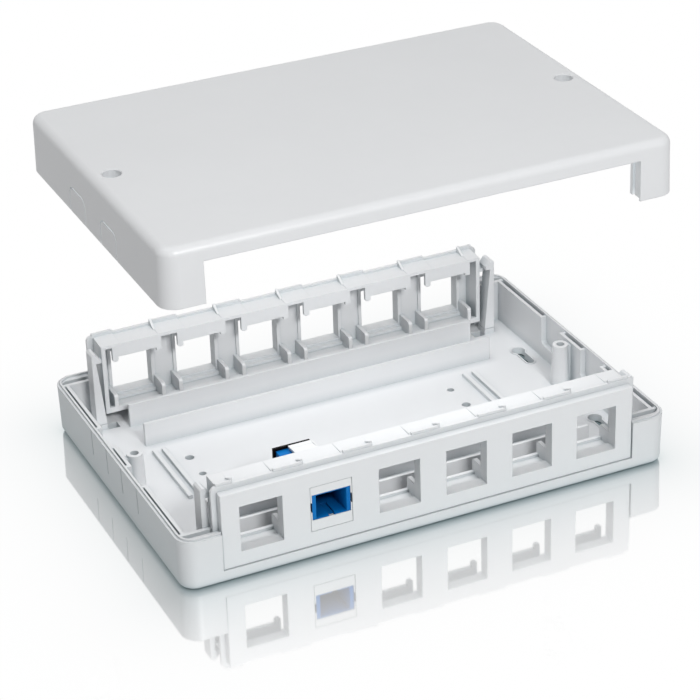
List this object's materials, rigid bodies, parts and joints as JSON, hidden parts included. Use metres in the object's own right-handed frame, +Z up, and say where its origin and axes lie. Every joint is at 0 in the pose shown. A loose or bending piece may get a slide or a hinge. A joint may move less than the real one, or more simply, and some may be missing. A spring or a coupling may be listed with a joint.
{
  "type": "fibre termination box",
  "caption": "Low rectangular fibre termination box with a lift-off cover, keystone port panels along both long sides and one blue SC adapter.",
  "frame": {"origin": "centre of the tray's underside", "axes": "+Z up out of the tray, +X along the long side, -Y towards the front port panel, the one that holds the blue adapter"},
  "size_m": [0.177, 0.122, 0.12],
  "materials": {
    "housing_white": "satin moulded ABS",
    "panel_white": "satin moulded ABS",
    "insert_white": "satin moulded ABS",
    "adapter_blue": "smooth moulded PBT",
    "clip_blue": "smooth moulded PBT",
    "collar_black": "satin",
    "spring_steel": "plain stainless strip",
    "screw_steel": "bright zinc plate",
    "ceramic_white": "polished zirconia"
  },
  "bodies": {
    "tray": {"base_tray": "housing_white", "front_port_panel": "panel_white", "rear_port_panel": "panel_white", "keystone_holder": "insert_white", "adapter_shell_front": "adapter_blue", "adapter_shell_rear": "adapter_blue", "adapter_rear_collar": "collar_black", "adapter_spring_clip": "spring_steel", "connector_clip_front": "clip_blue", "connector_clip_rear": "clip_blue", "alignment_sleeve": "ceramic_white"},
    "cover": {"top_cover": "housing_white"},
    "screw_left": {"cover_screw_left": "screw_steel"},
    "screw_right": {"cover_screw_right": "screw_steel"},
    "insert_latch": {"keystone_latch": "insert_white"},
    "latch_front_left": {"panel_latch_front_left": "housing_white"},
    "latch_front_right": {"panel_latch_front_right": "housing_white"},
    "latch_rear_left": {"panel_latch_rear_left": "housing_white"},
    "latch_rear_right": {"panel_latch_rear_right": "housing_white"}
  },
  "joints": [
    {"name": "cover_lift", "type": "slide", "parent": "tray", "child": "cover", "axis": [0, 0, 1], "range_m": [-0.08195, 0]},
    {"name": "cover_screw_left_turn", "type": "hinge", "parent": "cover", "child": "screw_left", "pos_m": [-0.0809, 0, 0.1024], "axis": [0, 0, 1], "continuous": true},
    {"name": "cover_screw_right_turn", "type": "hinge", "parent": "cover", "child": "screw_right", "pos_m": [0.0809, 0, 0.1024], "axis": [0, 0, 1], "continuous": true},
    {"name": "insert_latch_press", "type": "hinge", "parent": "tray", "child": "insert_latch", "pos_m": [-0.03645, -0.0315, 0.0239], "axis": [1, 0, 0], "range_deg": [0, 5], "stiffness_Nm_per_rad": 0.3},
    {"name": "panel_latch_front_left_flex", "type": "hinge", "parent": "tray", "child": "latch_front_left", "pos_m": [-0.0766, -0.0512, 0.0045], "axis": [0, -1, 0], "range_deg": [0, 5], "stiffness_Nm_per_rad": 1.2},
    {"name": "panel_latch_front_right_flex", "type": "hinge", "parent": "tray", "child": "latch_front_right", "pos_m": [0.0766, -0.0512, 0.0045], "axis": [0, 1, 0], "range_deg": [0, 5], "stiffness_Nm_per_rad": 1.2},
    {"name": "panel_latch_rear_left_flex", "type": "hinge", "parent": "tray", "child": "latch_rear_left", "pos_m": [-0.0766, 0.0483, 0.0045], "axis": [0, -1, 0], "range_deg": [0, 5], "stiffness_Nm_per_rad": 1.2},
    {"name": "panel_latch_rear_right_flex", "type": "hinge", "parent": "tray", "child": "latch_rear_right", "pos_m": [0.0766, 0.0483, 0.0045], "axis": [0, 1, 0], "range_deg": [0, 5], "stiffness_Nm_per_rad": 1.2}
  ]
}
